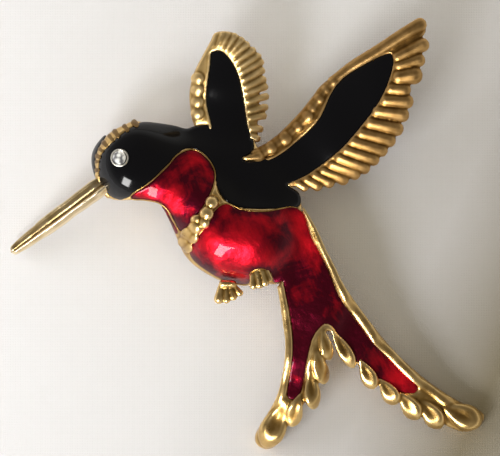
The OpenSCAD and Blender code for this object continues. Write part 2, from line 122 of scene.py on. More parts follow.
world = bpy.data.worlds.new("studio")
world.use_nodes = True
bpy.context.scene.world = world
nodes, links = world.node_tree.nodes, world.node_tree.links
nodes.clear()
sky_way = step(nodes, "TexCoord")
sky_split = step(nodes, "SeparateXYZ")
sky_tone = tones(
    nodes, (0.0, (0.93, 0.91, 0.87)), (0.5, (0.27, 0.25, 0.22)), (1.0, (0.13, 0.117, 0.1))
)
sky_light = step(nodes, "Background", Strength=1.0)
sky_out = step(nodes, "OutputWorld")
links.new(sky_way.outputs["Generated"], sky_split.inputs[0])
links.new(sky_split.outputs["Z"], sky_tone.inputs["Fac"])
links.new(sky_tone.outputs["Color"], sky_light.inputs["Color"])
links.new(sky_light.outputs["Background"], sky_out.inputs["Surface"])
bpy.context.scene.view_settings.view_transform = "Standard"

# The weave is a warp and a weft. The cloth's colour has painted shade: it darkens in a soft warm
# band towards the lower right of the view, and pales again beyond it.
cloth_finish, cloth_shader = blank("pale_cloth", Roughness=0.85)
nodes, links = cloth_finish.node_tree.nodes, cloth_finish.node_tree.links
cloth_place = step(nodes, "TexCoord")
warp, weft = (
    step(nodes, "TexWave", Scale=900, Distortion=1.2, Detail_Scale=3) for _ in range(2)
)
for threads, way in ((warp, "X"), (weft, "Y")):
    threads.bands_direction = way
    links.new(cloth_place.outputs["Object"], threads.inputs["Vector"])
weave = step(nodes, "Math")
weave.operation = "MULTIPLY"
links.new(warp.outputs["Fac"], weave.inputs[0])
links.new(weft.outputs["Fac"], weave.inputs[1])
cloth_bump = step(nodes, "Bump", Strength=0.3, Distance=0.1 * MM)
links.new(weave.outputs[0], cloth_bump.inputs["Height"])
links.new(cloth_bump.outputs["Normal"], cloth_shader.inputs["Normal"])
# Painted shade: a gradient across the cloth runs its colour from pale to dark and back to pale.
cloth_shade_slope = step(nodes, "Mapping", Rotation=(0, 0, math.radians(25)), Scale=(12, 12, 12))
cloth_shade_run = step(nodes, "TexGradient")
cloth_painted_shade = tones(
    nodes, (0.0, (0.755, 0.747, 0.775)), (0.3, (0.62, 0.602, 0.615)),
    (0.48, (0.24, 0.205, 0.14)), (1.0, (0.68, 0.67, 0.68)),
)
links.new(cloth_place.outputs["Object"], cloth_shade_slope.inputs["Vector"])
links.new(cloth_shade_slope.outputs["Vector"], cloth_shade_run.inputs["Vector"])
links.new(cloth_shade_run.outputs["Fac"], cloth_painted_shade.inputs["Fac"])
links.new(cloth_painted_shade.outputs["Color"], cloth_shader.inputs["Base Color"])

bpy.ops.mesh.primitive_plane_add(size=3, location=(0, 0, 0))
cloth = bpy.context.object
cloth.name = "cloth"
cloth.data.materials.append(cloth_finish)

# The body's casting: head, back and belly in one domed shell of gold-tone metal. Its
# bare strips are rounded, and the enamel lies in the cells between them. The plan is
# drawn in shares of the body's length, as percentages, and everything is in mm until
# a piece is finished.
THROAT = np.array([-6.605, 4.788])
BODY_LONG = 28.0
BODY_RISE = 8.0
BACK_Z = 4.0
BODY_PLAN = (THROAT, BODY_LONG, BODY_LONG)
VOXEL = 0.14
SLAB = 1.0
CURVE_STEPS = 10


def spots(rows, plan):
    """Where rows of percentages fall in the plan."""
    origin, wide, high = plan
    return origin + np.array(rows, float)[:, :2] * (wide, high) / 100


def flowing(rows, plan, closed=True):
    """A smooth line through the rows of a table."""
    p = spots(rows, plan)
    count = len(p) if closed else len(p) - 1
    line = []
    for i in range(count):
        if closed:
            a, b, c, d = (p[(i + k) % len(p)] for k in (-1, 0, 1, 2))
        else:
            a, b, c, d = (p[min(max(i + k, 0), len(p) - 1)] for k in (-1, 0, 1, 2))
        for t in np.arange(CURVE_STEPS) / CURVE_STEPS:
            spot = 2 * b + (c - a) * t
            spot += (2 * a - 5 * b + 4 * c - d) * t**2
            spot += (3 * b - a - 3 * c + d) * t**3
            line.append(0.5 * spot)
    if not closed:
        line.append(p[-1])
    return np.array(line)


def stations(rows, plan, foot, foot_unit, rise_unit):
    """Domes in a row. Columns: right, up, radius, foot height, rise and fullness."""
    rows = np.array(rows, float)
    return np.column_stack(
        (
            spots(rows, plan),
            rows[:, 2] * plan[1] / 100,
            foot + rows[:, 3] * foot_unit / 100,
            rows[:, 4] * rise_unit / 100,
            rows[:, 5],
        )
    )


def nearest_stations(a, b, points):
    """The place between two stations that lies nearest to each point."""
    run = b[:2] - a[:2]
    share = np.clip((points - a[:2]) @ run / (run @ run), 0, 1)
    return a + share[:, None] * (b - a)


def dome_height(chain, points):
    """Height over the plan of a row of domes, each blended into the next."""
    best = np.full(len(points), -np.inf)
    for a, b in zip(chain, chain[1:]):
        s = nearest_stations(a, b, points)
        off = np.hypot(*(points - s[:, :2]).T) / s[:, 2]
        dome = np.where(off < 1, np.sqrt(np.clip(1 - off ** s[:, 5], 0, 1)), 1 - off)
        best = np.maximum(best, s[:, 3] + s[:, 4] * dome)
    return best


def foot_height(chain, points):
    """Height of a row of domes' flat underside."""
    best, nearest = np.zeros(len(points)), np.full(len(points), np.inf)
    for a, b in zip(chain, chain[1:]):
        s = nearest_stations(a, b, points)
        off = np.hypot(*(points - s[:, :2]).T)
        best = np.where(off < nearest, s[:, 3], best)
        nearest = np.minimum(off, nearest)
    return best


def ground_over(chains, soften=0.6):
    """A height over the plan of several rows of domes, eased where they meet."""
    # The plan's grid in mm: its pitch, its reach, and the steps that the easing takes in.
    pitch, reach, window = 0.25, 36.0, 10
    ticks = np.arange(-reach, reach + pitch / 2, pitch)
    points = np.stack(np.meshgrid(ticks, ticks), axis=-1).reshape(-1, 2)
    heights = np.max([dome_height(chain, points) for chain in chains], axis=0)
    heights = heights.reshape(len(ticks), -1)
    spread = np.exp(-0.5 * (np.arange(-window, window + 1) * pitch / soften) ** 2)
    spread /= spread.sum()
    for _ in range(2):
        heights = np.array([np.convolve(row, spread, "same") for row in heights]).T

    def ground(points):
        at = (points + reach) / pitch
        low = np.clip(np.floor(at).astype(int), 0, len(ticks) - 2)
        right, up = (at - low).T
        i, j = low.T
        return (
            heights[j, i] * (1 - right) * (1 - up) + heights[j, i + 1] * right * (1 - up)
            + heights[j + 1, i] * (1 - right) * up + heights[j + 1, i + 1] * right * up
        )

    return ground


def depth_inside(lines, points):
    """How far points of the plan lie inside closed lines together; outside is negative."""
    nearest = np.full(len(points), np.inf)
    within = np.zeros(len(points), bool)
    for line in lines:
        others = [other for other in lines if other is not line]
        ends = np.roll(line, -1, axis=0)
        bare = depth_inside(others, (line + ends) / 2) < 0 if others else np.ones(len(line), bool)
        odd = np.zeros(len(points), bool)
        for a, b, shows in zip(line, ends, bare):
            run, off = b - a, points - a
            if shows:
                share = np.clip(off @ run / max(run @ run, 1e-12), 0, 1)
                nearest = np.minimum(nearest, np.hypot(*(off - share[:, None] * run).T))
            if a[1] != b[1]:
                spans = (a[1] > points[:, 1]) != (b[1] > points[:, 1])
                odd ^= spans & (off[:, 0] < run[0] * off[:, 1] / run[1])
        within |= odd
    return np.where(within, nearest, -nearest)


def grown(line, by):
    """A closed line moved outwards."""
    way = np.roll(line, -1, axis=0) - np.roll(line, 1, axis=0)
    side = np.column_stack((way[:, 1], -way[:, 0])) / np.hypot(*way.T)[:, None]
    turns = np.cross(line, np.roll(line, -1, axis=0)).sum()
    return line + side * by * np.sign(turns)


def plan_of(bm):
    """The corners of a mesh, whose first two columns are their places in the plan."""
    return np.array([vert.co[:] for vert in bm.verts])


def set_heights(bm, heights):
    """Gives each corner of a mesh its height."""
    for vert, height in zip(bm.verts, heights):
        vert.co.z = height


def ease(bm, rounds):
    """Softens a mesh."""
    axes = {"use_axis_x": True, "use_axis_y": True, "use_axis_z": True}
    for _ in range(rounds):
        bmesh.ops.smooth_vert(bm, verts=bm.verts, factor=0.5, **axes)


def fused(bm, voxel=VOXEL, smoothing=2):
    """One closed skin round all that the mesh holds, with softened corners, as a casting has."""
    mesh = bpy.data.meshes.new("fused")
    bm.to_mesh(mesh)
    bm.free()
    helper = bpy.data.objects.new("fused", mesh)
    bpy.context.collection.objects.link(helper)
    skin = helper.modifiers.new("skin", "REMESH")
    skin.mode = "VOXEL"
    skin.voxel_size = voxel
    result = bpy.data.meshes.new_from_object(
        helper.evaluated_get(bpy.context.evaluated_depsgraph_get())
    )
    whole = bmesh.new()
    whole.from_mesh(result)
    bpy.data.objects.remove(helper)
    ease(whole, smoothing)
    return whole


def slab(lines, voxel):
    """A flat plate with even faces, cut to closed lines of the plan."""
    bm = bmesh.new()
    for line in lines:
        face = bm.faces.new([bm.verts.new((x, y, 0)) for x, y in line])
        raised = bmesh.ops.extrude_face_region(bm, geom=[face])["geom"]
        corners = [part for part in raised if isinstance(part, bmesh.types.BMVert)]
        bmesh.ops.translate(bm, verts=corners, vec=(0, 0, SLAB))
    bmesh.ops.recalc_face_normals(bm, faces=bm.faces)
    return fused(bm, voxel, smoothing=1)


def drape(bm, top, foot):
    """Lays a flat plate over the forms, between two heights of the plan."""
    xyz = plan_of(bm)
    low, high = foot(xyz[:, :2]), top(xyz[:, :2])
    share = np.clip(xyz[:, 2] / SLAB, 0, 1)
    set_heights(bm, low + (high - low) * share)


def bar(bm, line, start_r, end_r, squash=0.8, lift=0.0, sides=12, fine=0.2):
    """A round-ended bar laid along a line of the plan. Its height is over the forms."""
    line = np.asarray(line, float)
    runs = np.hypot(*np.diff(line, axis=0).T)
    arc = np.concatenate([[0], np.cumsum(runs)])
    total = start_r + arc[-1] + end_r
    lifts = np.atleast_1d(lift)
    steps = max(8, round(total / fine))
    verts = bmesh.ops.create_grid(bm, x_segments=steps, y_segments=sides, size=0.5)["verts"]
    for vert in verts:
        run = (vert.co.x + 0.5) * total - start_r
        turn = 2 * math.pi * (vert.co.y + 0.5)
        at = min(max(run, 0), arc[-1])
        k = min(np.searchsorted(arc, at, side="right") - 1, len(runs) - 1)
        way = (line[k + 1] - line[k]) / runs[k]
        middle = line[k] + way * (at - arc[k]) + way * (run - at)
        share = at / arc[-1]
        full = start_r + (end_r - start_r) * share
        radius = math.sqrt(max(0, full**2 - (run - at) ** 2))
        side = middle + np.array((-way[1], way[0])) * radius * math.cos(turn)
        rise = lifts[0] + (lifts[-1] - lifts[0]) * share
        vert.co = (side[0], side[1], rise + squash * radius * math.sin(turn))
    bmesh.ops.remove_doubles(bm, verts=verts, dist=0.001)


def bead(bm, spot, radius, squash=0.8, lift=0.0):
    """A round bead on a spot of the plan, a little flattened."""
    bmesh.ops.create_icosphere(
        bm,
        subdivisions=3,
        radius=radius,
        matrix=Matrix.Translation((*spot, lift)) @ Matrix.Diagonal((1, 1, squash, 1)),
    )


def lay(bm, ground):
    """Sets what was made flat onto the forms."""
    xyz = plan_of(bm)
    set_heights(bm, xyz[:, 2] + ground(xyz[:, :2]))


def add(bm, other):
    """Puts another mesh into this one."""
    mesh = bpy.data.meshes.new("part")
    other.to_mesh(mesh)
    other.free()
    bm.from_mesh(mesh)
    bpy.data.meshes.remove(mesh)


def mark_hollows(bm, rounds=10, full=0.06):
    """Notes on each corner how deep it lies in a hollow, from -1 on a crest to 1."""
    smooth = bm.copy()
    ease(smooth, rounds)
    bm.normal_update()
    layer = bm.verts.layers.float.new("hollow")
    for vert, eased in zip(bm.verts, smooth.verts):
        vert[layer] = max(-1, min(1, (eased.co - vert.co).dot(vert.normal) / full))
    smooth.free()


def finished(name, bm, finish, node, smooth=True):
    """Makes the piece in metres, in the place of a node of the solid model."""
    bmesh.ops.recalc_face_normals(bm, faces=bm.faces)
    bmesh.ops.scale(bm, vec=(MM, MM, MM), verts=bm.verts)
    for face in bm.faces:
        face.smooth = smooth
    mesh = bpy.data.meshes.new(name)
    bm.to_mesh(mesh)
    bm.free()
    mesh.materials.append(finish)
    thing = bpy.data.objects.new(name, mesh)
    bpy.context.collection.objects.link(thing)
    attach(thing, "root")
    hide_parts(node)
    return thing


def grained(finish, shader, scale, strength, deep):
    """Gives a finish a fine unevenness, with its depth in mm."""
    nodes, links = finish.node_tree.nodes, finish.node_tree.links
    place = step(nodes, "TexCoord")
    grain = step(nodes, "TexNoise", Scale=scale)
    bump = step(nodes, "Bump", Strength=strength, Distance=deep * MM)
    links.new(place.outputs["Object"], grain.inputs["Vector"])
    links.new(grain.outputs["Fac"], bump.inputs["Height"])
    links.new(bump.outputs["Normal"], shader.inputs["Normal"])


def gold(name, dull, mid, crest_tone):
    """Gold-tone plating with a random worn mottle, and painted shade: darker in hollows and lighter
    on crests, partly real browning and rubbing.
    """
    finish, shader = blank(name, Metallic=1.0)
    nodes, links = finish.node_tree.nodes, finish.node_tree.links
    place = step(nodes, "TexCoord")
    hollow = step(nodes, "Attribute")
    hollow.attribute_name = "hollow"
    mottle = step(nodes, "TexNoise", Scale=700, Detail=5)
    # Painted shade: the hollow mark turns hollows dark and crests light, partly as real browning
    # and rubbing.
    crest = step(nodes, "MapRange", From_Min=-1, To_Min=0.9, To_Max=-0.1)
    wear_and_shade = step(nodes, "Math")
    wear_and_shade.operation = "MULTIPLY_ADD"
    wear_and_shade.inputs[1].default_value = 0.4
    tone = tones(nodes, (0.1, (0.05, 0.018, 0.004)), (0.55, mid), (0.95, crest_tone))
    rough = step(nodes, "MapRange", To_Min=dull, To_Max=dull + 0.2)
    links.new(place.outputs["Object"], mottle.inputs["Vector"])
    links.new(hollow.outputs["Fac"], crest.inputs["Value"])
    links.new(mottle.outputs["Fac"], wear_and_shade.inputs[0])
    links.new(crest.outputs["Result"], wear_and_shade.inputs[2])
    links.new(wear_and_shade.outputs[0], tone.inputs["Fac"])
    links.new(tone.outputs["Color"], shader.inputs["Base Color"])
    links.new(mottle.outputs["Fac"], rough.inputs["Value"])
    links.new(rough.outputs["Result"], shader.inputs["Roughness"])
    grained(finish, shader, scale=3200, strength=0.1, deep=0.05)
    return finish


gold_rubbed = gold("rubbed_gold", 0.2, (0.44, 0.255, 0.07), (0.9, 0.65, 0.29))

BODY_OUTLINE = [
    (-52.5, 12), (-54.3, 18.5), (-54.1, 23), (-51.5, 27.5), (-44, 34.5), (-38, 37.5),
    (-33, 39.7), (-28, 38.8), (-14, 37.2), (-7.5, 35.6), (-2, 36.8), (12.5, 35),
    (25.4, 32.3), (29.2, 26), (39, 17.5), (47, 5), (50.8, -2), (50, -20), (46, -32.5),
    (40, -41.4), (31, -42), (21.5, -42.8), (13.5, -41.6), (8.4, -39.6), (2.4, -36.4),
    (-3, -32.6), (-7.2, -28.2), (-9.6, -24), (-12.3, -17.5), (-15, -11.4), (-17.8, -5.4),
    (-20, -2.2), (-24, -0.8), (-32.5, 0),
    (-42.5, 0), (-47.5, 2.5), (-50.8, 7),
]
BACK_FIELD = [
    (-49.5, 6.5), (-50.5, 14.5), (-49.5, 21.5), (-46.5, 26), (-41, 31), (-35, 35.5),
    (-28, 38.6), (-14, 37), (-7, 35.3), (-2, 36.6), (6, 37), (24.5, 31), (26.2, 25.5),
    (24.2, 23), (20.8, 21), (25, 19.3), (34, 21.5), (43, 19), (46, 12), (43.4, 7.6),
    (49.2, 3), (48.8, -3.2),
    (37.5, -4.2), (21.5, -3.8), (13.5, -0.5), (9, 6.5), (7.5, 15), (4, 21.5),
    (-0.5, 25), (-5, 26), (-9, 25), (-16, 18), (-25, 9.5), (-35, 2), (-42, 0.8),
]
FAR_HEAD_FIELD = [
    (-52.4, 11), (-54.2, 17.5), (-54.1, 22.9), (-52, 27.6), (-48, 32.2),
    (-46.9, 31.4), (-49.6, 27.4), (-51.6, 22.6), (-52.2, 17.5), (-51.4, 12),
]
THROAT_FIELD = [
    (-34, 1.5), (-25, 7.8), (-16, 16), (-11, 21.8), (-5, 24.5), (0, 23.2), (5, 18),
    (7, 11.5), (4.5, 2.5), (-1, -6.5), (-6, -13), (-9.8, -15), (-12.8, -9.8),
    (-15.6, -4.8), (-20.5, -0.9), (-27.5, 0.6),
]
THROAT_EDGE_FIELD = [
    (-19.4, -2.8), (-17.5, -5.9), (-15, -11), (-12.2, -17), (-10.9, -15.8), (-13.7, -10.2),
    (-16.6, -5),
]
BELLY_FIELD = [
    (13, -2.2), (21.5, -5.2), (32.5, -6), (48.8, -4.8), (50, -20), (46, -36),
    (37.8, -41), (35.6, -36), (30, -34), (24.8, -36.4), (23.6, -42), (14, -40.6),
    (9, -38.4), (4.4, -35.6), (-0.4, -32.2), (-3.9, -28.8), (-5.2, -24.6), (-3.4, -21.2),
    (-0.5, -18), (5, -11), (7.5, -5.5),
]
HEAD_CHAIN = [(-31.5, 19.5, 24, 0, 87, 3.4), (-20, 11, 21, 0, 82, 2), (-9, 5, 21, 0, 88, 2),
              (5, -3, 23.5, 0, 94, 2), (14, -17, 25, 0, 98, 2), (28, -18.5, 26, 0, 100, 2)]
BACK_CHAIN = [(-31.5, 19.5, 24, 0, 87, 3.4), (-11, 13, 25, 0, 78, 2), (17, 15, 28, 0, 68, 2),
              (32, 2, 26, 0, 72, 2), (27, -16, 27, 0, 92, 2)]
BODY_CHAINS = [stations(rows, BODY_PLAN, BACK_Z, 0, BODY_RISE) for rows in (HEAD_CHAIN, BACK_CHAIN)]

body_line = flowing(BODY_OUTLINE, BODY_PLAN)
back_line = grown(flowing(BACK_FIELD, BODY_PLAN), 0.12)
throat_line = grown(flowing(THROAT_FIELD, BODY_PLAN), 0.2)
throat_edge_line = flowing(THROAT_EDGE_FIELD, BODY_PLAN)
belly_line = grown(flowing(BELLY_FIELD, BODY_PLAN), 0.12)
far_head_line = flowing(FAR_HEAD_FIELD, BODY_PLAN)
body_cells = [back_line, throat_line, throat_edge_line, belly_line, far_head_line]
body_ground = ground_over(BODY_CHAINS, 1.1)


def metal_top(ground, outline, fields, crown=0.3, round_w=0.5, sunk=0.4):
    """Height of bare metal: rounded strips round the fields, and sunk floors under them."""
    strip_foot, cell_edge = -0.1, 0.08

    def top(points):
        inside = depth_inside(fields, points)
        edge = np.minimum(depth_inside([outline], points), -inside)
        share = np.clip(edge / round_w, 0, 1)
        bare = ground(points) + strip_foot + crown * np.sqrt(1 - (1 - share) ** 2)
        return np.where(inside > cell_edge, ground(points) - sunk, bare)

    return top


def flat_back(points):
    """The body's underside is level."""
    return np.full(len(points), BACK_Z)


body = slab([body_line], 0.2)
drape(body, metal_top(body_ground, body_line, body_cells), flat_back)

BEAK_RING = [(-51.8, 13), (-50.9, 8.4), (-48.8, 4), (-46, 1.2)]
# Columns of the collar's beads: right, up, radius.
COLLAR = [(6, -1.2, 0.98), (3.4, -6.8, 1.06), (1.8, -11.4, 0.9), (-2, -10, 0.8), (-2.6, -14, 1.02),
          (-6.4, -17, 0.95), (-3.4, -19, 0.82), (-8.6, -21, 0.76), (-6, -24, 0.72)]

relief = bmesh.new()
bar(relief, flowing(BEAK_RING, BODY_PLAN, closed=False), start_r=0.26, end_r=0.2, lift=0.12)
for spot, row in zip(spots(COLLAR, BODY_PLAN), COLLAR):
    bead(relief, spot, row[2], lift=0.24)
lay(relief, body_ground)

# Columns of the toes: root right, root up, tip right, tip up, the radii of both ends
# and their heights.
TOES = [
    (11, -42.4, 9.5, -49.4, 0.5, 0.76, 7.2, 7.2),
    (13, -43, 13.3, -50, 0.42, 0.54, 7.4, 7.35),
    (15, -43.2, 16.6, -48.6, 0.42, 0.54, 7.4, 7.35),
    (16.8, -43, 20, -46.5, 0.4, 0.5, 7.3, 7.25),
    (11.4, -41.9, 16.6, -42, 0.6, 0.54, 7.5, 7.6),
    (26.4, -37.8, 26.7, -42.8, 0.46, 0.58, 9.3, 9.25),
    (28.6, -37, 29.8, -42.6, 0.46, 0.54, 9.5, 9.35),
    (31, -36, 32.6, -41.4, 0.44, 0.54, 9.5, 9.4),
    (33.2, -35.4, 35, -39.6, 0.42, 0.48, 9.4, 9.3),
]
for *ends, root_r, tip_r, root_z, tip_z in TOES:
    line = spots([ends[:2], ends[2:]], BODY_PLAN)
    bar(relief, line, root_r, tip_r, squash=1, lift=(root_z, tip_z))
add(body, relief)
body = fused(body)
mark_hollows(body)


def wall(bm, line, ground, radius, closed=True, lift=0.02):
    """A thin bright cell wall along a line, standing a little over the enamel."""
    line = np.vstack([line, line[:2]]) if closed else line
    piece = bmesh.new()
    bar(piece, line, radius, radius, squash=1, lift=lift, sides=8, fine=0.15)
    lay(piece, ground)
    add(bm, piece)


wall(body, throat_line, body_ground, 0.085)
wall(body, belly_line, body_ground, 0.1)
finished("body_casting", body, gold_rubbed, "metal_casting")

# The crown strip is a row of cast ribs over the head, browner than the metal round it.
# The ribs grow a little from the beak to the nape, and every second one is fuller.
CROWN_OUTER = [(-51.4, 12), (-51.8, 18.5), (-50.6, 24.2), (-46.6, 30.4), (-41.2, 35), (-33, 38.8)]
CROWN_INNER = [(-50.8, 12), (-51, 18.5), (-49.6, 23.4), (-45.2, 28.6), (-39.6, 32.8), (-31.5, 37.4)]
CROWN_RIBS = 10
CROWN_RIB_R, CROWN_RIB_GAIN, CROWN_RIB_UNEVEN = 0.28, 0.016, 0.06
CROWN_VOXEL = 0.08

gold_brown = gold("brown_gold", 0.26, (0.12, 0.064, 0.02), (0.48, 0.31, 0.12))
crown = bmesh.new()
outer = flowing(CROWN_OUTER, BODY_PLAN, closed=False)
inner = flowing(CROWN_INNER, BODY_PLAN, closed=False)
for i, at in enumerate(np.linspace(0, len(outer) - 1, CROWN_RIBS).astype(int)):
    full = CROWN_RIB_R + CROWN_RIB_GAIN * i + CROWN_RIB_UNEVEN * (i % 2)
    bar(crown, [outer[at], inner[at]], full, 0.8 * full, squash=0.7, lift=0.05)
lay(crown, body_ground)
crown = fused(crown, CROWN_VOXEL, smoothing=1)
mark_hollows(crown, full=0.16)
finished("crown_strip", crown, gold_brown, "metal_casting")

# The beak is cast with the head: a long taper, rubbed paler than the rest, with one
# flat facet and a shallow groove beside it along its upper side.
BEAK_ROOT = THROAT + BODY_LONG * np.array([-49.5, 7]) / 100
BEAK_TURN = math.radians(216.3)
BEAK_LONG = 14.98
BEAK_WIDE = 3.0
BEAK_FALL = (BACK_Z + 0.34 * BODY_RISE, 0.45 * BACK_Z)
# How far the root is sunk in the head, as a share of the length, and how far the tip is
# rounded, as a share of the width.
BEAK_SUNK, BEAK_TIP = 0.12, 0.26
# The beak isn't quite even. Columns: share of its radius, waves along it.
BEAK_WAVER = [(0.035, 14), (0.02, 31)]
# Columns: share of the length, radius as a share of the width, share of the fall.
BEAK_STEPS = np.array([
    (-0.12, 0.42, 0), (0.06, 0.46, 0.04), (0.35, 0.45, 0.25), (0.6, 0.43, 0.53),
    (0.8, 0.37, 0.8), (0.93, 0.3, 0.93), (1, 0.25, 1),
])
# The beak's section, from its upper side round over its ridge. Columns: across, up.
BEAK_SECTION = np.array([
    (1, -0.1), (0.97, 0.16), (0.88, 0.3), (0.62, 0.3), (0.3, 0.36), (0.0, 0.33),
    (-0.2, 0.74), (-0.34, 0.86), (-0.98, 0.2), (-0.88, -0.5), (-0.35, -0.8), (0.35, -0.8),
    (0.88, -0.5), (1, -0.1),
])

gold_pale = gold("pale_gold", 0.14, (0.56, 0.4, 0.18), (0.95, 0.8, 0.55))
beak_way = np.array((math.cos(BEAK_TURN), math.sin(BEAK_TURN)))
beak_side = np.array((beak_way[1], -beak_way[0]))
beak = bmesh.new()
for vert in bmesh.ops.create_grid(beak, x_segments=60, y_segments=48, size=0.5)["verts"]:
    run = -BEAK_SUNK + (vert.co.x + 0.5) * (1 + BEAK_SUNK + BEAK_TIP * BEAK_WIDE / BEAK_LONG)
    at = min(run, 1)
    radius = BEAK_WIDE * np.interp(at, BEAK_STEPS[:, 0], BEAK_STEPS[:, 1])
    radius *= 1 + sum(share * math.sin(waves * at) for share, waves in BEAK_WAVER)
    over = (run - at) * BEAK_LONG
    radius = math.sqrt(max(0, radius**2 - over**2))
    if run <= -BEAK_SUNK:
        radius = 0
    turn = (vert.co.y + 0.5) * (len(BEAK_SECTION) - 1)
    across, up = (
        np.interp(turn, range(len(BEAK_SECTION)), BEAK_SECTION[:, k]) * radius for k in (0, 1)
    )
    middle = BEAK_ROOT + beak_way * run * BEAK_LONG + beak_side * across
    fall = np.interp(at, BEAK_STEPS[:, 0], BEAK_STEPS[:, 2])
    vert.co = (*middle, BEAK_FALL[0] + (BEAK_FALL[1] - BEAK_FALL[0]) * fall + up)
bmesh.ops.remove_doubles(beak, verts=beak.verts, dist=0.001)
mark_hollows(beak, full=0.09)
finished("beak", beak, gold_pale, "metal_casting")

# The near wing is a lifted plate of the same casting, with a cell for the black enamel.
# Beads on a low bar run along its leading edge, then a smooth spur, and a fringe of
# round-ended feathers runs along the other edge.
NEAR_PLAN = (THROAT + BODY_LONG * np.array([16.2, 15.8]) / 100, 28.0, 21.0)
NEAR_SET, NEAR_LIFT, WING_THICK = 1.4, 4.0, 2.2
NEAR_OUTLINE = [
    (4, 7), (10.2, 12.2), (17.8, 17.9), (25.2, 25.7), (33.8, 37.7), (39.8, 47.7),
    (45.2, 56.5), (56.2, 65.9), (68.8, 75.9), (82.8, 87.2), (91.5, 95), (95, 97),
    (96.5, 91), (91, 80), (88, 62), (83, 48), (78, 33), (70, 16), (60, 1.5), (48, -7.5),
    (36, -11), (27, -12.5), (10, -8),
]
NEAR_FIELD = [
    (2, 2), (12.8, 4.4), (19.3, 7), (25.8, 12.2), (31.5, 18.4), (37.5, 25.4), (42.3, 32.6),
    (45.3, 40), (48, 48.6), (51.8, 56.4), (57, 62.8), (64.8, 69.2), (75, 76), (79.7, 76.6),
    (80.9, 69.4), (78, 55.5), (72.8, 41.7), (65, 27.8), (56, 13.9), (46.8, 3.5), (36.4, -6),
    (27.5, -10.3), (10, -14),
]
NEAR_CHAIN = stations(
    [(5, 0, 25, 0, 150, 2), (37, 10, 27, 28, 100, 2), (60, 32, 28.5, 60, 100, 2),
     (79, 57, 24.5, 84, 96, 2), (94, 86, 18, 100, 90, 2)],
    NEAR_PLAN, BACK_Z + NEAR_SET, NEAR_LIFT, WING_THICK,
)
# Columns: root right, root up, tip right, tip up, radius.
NEAR_FEATHERS = [
    (82.6, 74, 98, 84, 0.85), (83.4, 68.3, 96.2, 73.1, 0.85), (83.4, 60.6, 95, 62.5, 1.1),
    (79.4, 52.8, 89.3, 51.8, 0.82), (76.6, 44.9, 90.6, 44.1, 0.86), (72.4, 37.5, 88.4, 34.7, 0.86),
    (69.1, 30, 85.6, 25, 0.84), (64.9, 23.2, 81.7, 17.3, 0.82), (60.7, 17.5, 77.7, 10.7, 0.8),
    (57, 11.7, 73.5, 4.5, 0.78), (53.5, 6.5, 68.8, -1.4, 0.76), (49.8, 2, 64, -5.3, 0.74),
    (45.6, -2, 58.2, -9, 0.72), (41.5, -4.8, 51, -11.3, 0.7), (37.3, -7.8, 45, -13.4, 0.68),
    (33, -10.4, 38, -14.2, 0.56),
]
FEATHER_WIDE, FEATHER_ROOT = 1.2, 0.8
# Columns: right, up, radius.
NEAR_BEADS = [
    (12.4, 8.6, 1.02), (19.4, 13.8, 0.95), (26.4, 20.2, 1.0), (32.6, 27.6, 0.84),
    (37.4, 34.6, 0.9), (39.6, 40, 0.74), (43.2, 46.4, 0.8), (46.4, 52.4, 0.72), (50, 58, 0.74),
]
NEAR_SPUR = [(51, 59.5), (60, 68.5), (72, 78), (84, 88), (93.5, 95.5)]
# A taper joins the leading band to the back.
NEAR_TAPER = [(5.6, 6.9), (8.8, 7), (13, 8.6)]

gold_matte = gold("matte_gold", 0.3, (0.26, 0.135, 0.034), (0.66, 0.41, 0.16))
near_line = flowing(NEAR_OUTLINE, NEAR_PLAN)
near_field_line = flowing(NEAR_FIELD, NEAR_PLAN)
near_ground = ground_over([NEAR_CHAIN])


def wing_plate(line, field_line, ground, chain):
    """A wing's bare plate, with the enamel's cell sunk in it."""
    plate = slab([line], 0.2)
    top = metal_top(ground, line, [field_line, back_line])
    drape(plate, top, lambda points: foot_height(chain, points))
    return plate


near = wing_plate(near_line, near_field_line, near_ground, NEAR_CHAIN)
relief = bmesh.new()
for row in NEAR_FEATHERS:
    root, tip = spots([row[:2], row[2:4]], NEAR_PLAN)
    way = (tip - root) / np.hypot(*(tip - root))
    full = FEATHER_WIDE * row[4]
    bar(relief, [root, tip - way * full], FEATHER_ROOT * full, full, squash=0.72, lift=-0.05)
for spot, row in zip(spots(NEAR_BEADS, NEAR_PLAN), NEAR_BEADS):
    bead(relief, spot, row[2], squash=0.6, lift=0.05)
near_band = spots(NEAR_BEADS, NEAR_PLAN)
near_spur = flowing(NEAR_SPUR, NEAR_PLAN, closed=False)
near_wall = near_field_line[CURVE_STEPS : 21 * CURVE_STEPS + 1]
bar(relief, near_band, start_r=0.72, end_r=0.6, squash=0.6, lift=0.04)
bar(relief, near_spur, start_r=0.62, end_r=1.0, squash=0.62, lift=0.05)
bar(relief, near_wall, start_r=0.24, end_r=0.24, squash=0.6, lift=0.04)
lay(relief, near_ground)
add(near, relief)
relief = bmesh.new()
bar(relief, spots(NEAR_TAPER, NEAR_PLAN), start_r=0.12, end_r=0.7, lift=0.1)
lay(relief, ground_over([*BODY_CHAINS, NEAR_CHAIN]))
add(near, relief)
near = fused(near)
mark_hollows(near)
finished("near_wing", near, gold_matte, "metal_casting")

